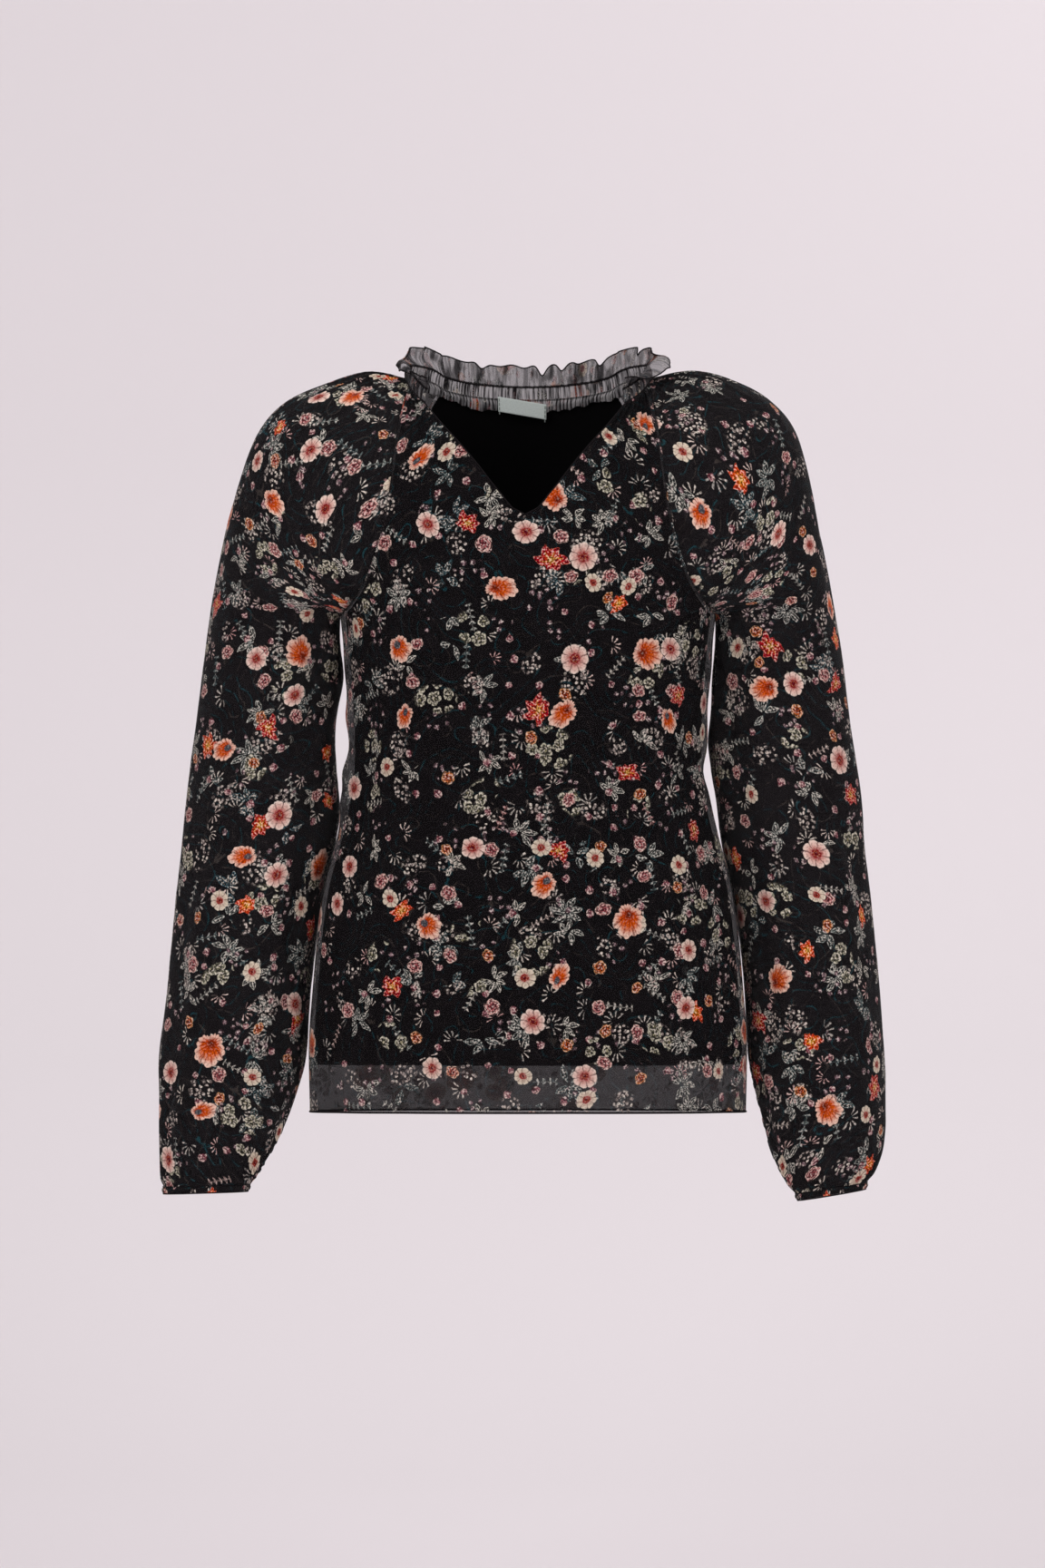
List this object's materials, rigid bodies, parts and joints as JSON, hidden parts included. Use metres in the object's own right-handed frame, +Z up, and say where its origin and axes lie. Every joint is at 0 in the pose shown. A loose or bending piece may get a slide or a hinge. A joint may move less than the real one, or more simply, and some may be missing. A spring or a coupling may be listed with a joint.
{
  "type": "blouse",
  "caption": "Long-sleeved raglan blouse in sheer printed chiffon with a split neck, a gathered ruffle collar, elastic cuffs and an opaque body lining.",
  "frame": {"origin": "between the shoulders, at the height where they carry the neckline, midway between front and back", "axes": "+X to the wearer's left, +Y towards the back, +Z up"},
  "size_m": [0.6222, 0.2299, 0.7378],
  "materials": {
    "printed_chiffon": "matt sheer chiffon, near-black with a small multicoloured floral print",
    "lining_black": "matt opaque black lining",
    "label_satin": "plain pale grey woven label, blank"
  },
  "bodies": {
    "root": {"front_panel": "printed_chiffon", "back_panel": "printed_chiffon", "sleeve_left": "printed_chiffon", "sleeve_right": "printed_chiffon", "lining_front": "lining_black", "lining_back": "lining_black", "neck_casing": "printed_chiffon", "neck_ruffle": "printed_chiffon", "neck_frill": "printed_chiffon", "neck_label": "label_satin", "cuff_left": "printed_chiffon", "cuff_right": "printed_chiffon"}
  },
  "joints": []
}
